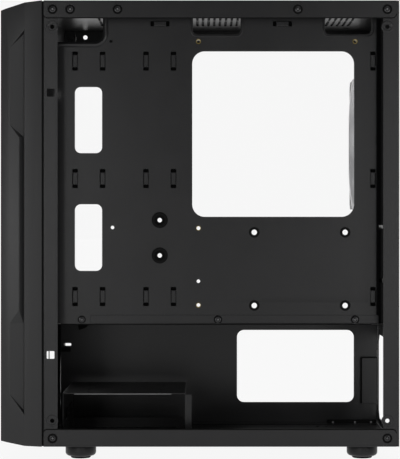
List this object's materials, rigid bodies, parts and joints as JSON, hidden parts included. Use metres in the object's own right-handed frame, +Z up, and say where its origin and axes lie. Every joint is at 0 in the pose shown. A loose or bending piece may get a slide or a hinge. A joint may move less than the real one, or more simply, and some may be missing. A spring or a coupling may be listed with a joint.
{
  "type": "desktop computer tower",
  "caption": "Empty micro-ATX computer tower with both side panels off: folded steel chassis, faceted plastic front, rear fan, shrouded power supply bay and drive cage.",
  "frame": {"origin": "on the ground under the middle of the tower", "axes": "+Z up, +X to the rear of the tower, -X to the front bezel, -Y to the cable side, +Y to the window side"},
  "size_m": [0.332, 0.205, 0.3841],
  "materials": {
    "black_steel": "fine-textured black powder coat",
    "bezel_plastic": "satin moulded black plastic",
    "black_plastic": "matte black plastic",
    "gloss_black": "glossy black plastic",
    "frosted_plastic": "frosted translucent plastic",
    "clear_lens": "clear lens",
    "filter_mesh": "woven nylon mesh in a soft frame",
    "circuit_board": "solder-masked fibreglass",
    "brass": "turned brass",
    "bright_steel": "nickel-plated",
    "black_screw": "black oxide",
    "black_rubber": "matte rubber"
  },
  "bodies": {
    "chassis": {"bottom_panel": "black_steel", "top_panel": "black_steel", "front_panel": "black_steel", "rear_panel": "black_steel", "motherboard_tray": "black_steel", "psu_shroud": "black_steel", "drive_cage": "black_steel", "front_bezel": "bezel_plastic", "io_housing": "black_plastic", "usb_port_1": "bright_steel", "usb_port_2": "bright_steel", "usb_port_3": "bright_steel", "headphone_jack": "gloss_black", "microphone_jack": "gloss_black", "power_led": "clear_lens", "io_board": "circuit_board", "fan_frame": "black_plastic", "fan_light_ring": "frosted_plastic", "fan_bearing": "brass", "slot_cover_1": "black_steel", "slot_cover_2": "black_steel", "slot_cover_3": "black_steel", "slot_cover_4": "black_steel", "slot_screw_rail": "black_steel", "top_dust_filter": "filter_mesh", "foot_front_near": "gloss_black", "foot_pad_front_near": "black_rubber", "foot_front_far": "gloss_black", "foot_pad_front_far": "black_rubber", "foot_rear_near": "gloss_black", "foot_pad_rear_near": "black_rubber", "foot_rear_far": "gloss_black", "foot_pad_rear_far": "black_rubber", "standoff_1": "brass", "standoff_2": "brass", "standoff_3": "brass", "standoff_4": "brass", "cable_grommet_1": "black_rubber", "cable_grommet_2": "black_rubber", "rail_screw_top_1": "black_screw", "rail_screw_top_2": "black_screw", "rail_screw_top_3": "black_screw", "rail_screw_top_4": "black_screw", "rail_screw_top_5": "black_screw", "rail_screw_top_far_1": "black_screw", "rail_screw_top_far_2": "black_screw", "rail_screw_top_far_3": "black_screw", "rail_screw_top_far_4": "black_screw", "rail_screw_bottom_1": "black_screw", "rail_screw_bottom_2": "black_screw", "rail_screw_bottom_far_1": "black_screw", "rail_screw_bottom_far_2": "black_screw", "tray_screw_1": "black_screw", "tray_screw_2": "black_screw", "tray_screw_3": "black_screw"},
    "power_button_body": {"power_button": "black_plastic"},
    "reset_button_body": {"reset_button": "black_plastic"},
    "fan_rotor_body": {"fan_rotor": "frosted_plastic", "fan_shaft": "bright_steel"},
    "psu_filter_body": {"psu_dust_filter": "filter_mesh"}
  },
  "joints": [
    {"name": "power_button_press", "type": "slide", "parent": "chassis", "child": "power_button_body", "axis": [0, 0, -1], "range_m": [0, 0.0015], "stiffness_N_per_m": 500},
    {"name": "reset_button_press", "type": "slide", "parent": "chassis", "child": "reset_button_body", "axis": [0, 0, -1], "range_m": [0, 0.0012], "stiffness_N_per_m": 500},
    {"name": "fan_spin", "type": "hinge", "parent": "chassis", "child": "fan_rotor_body", "pos_m": [0.152, 0.033, 0.2712], "axis": [1, 0, 0], "continuous": true},
    {"name": "psu_filter_slide", "type": "slide", "parent": "chassis", "child": "psu_filter_body", "axis": [0, -1, 0], "range_m": [0, 0.12]}
  ]
}
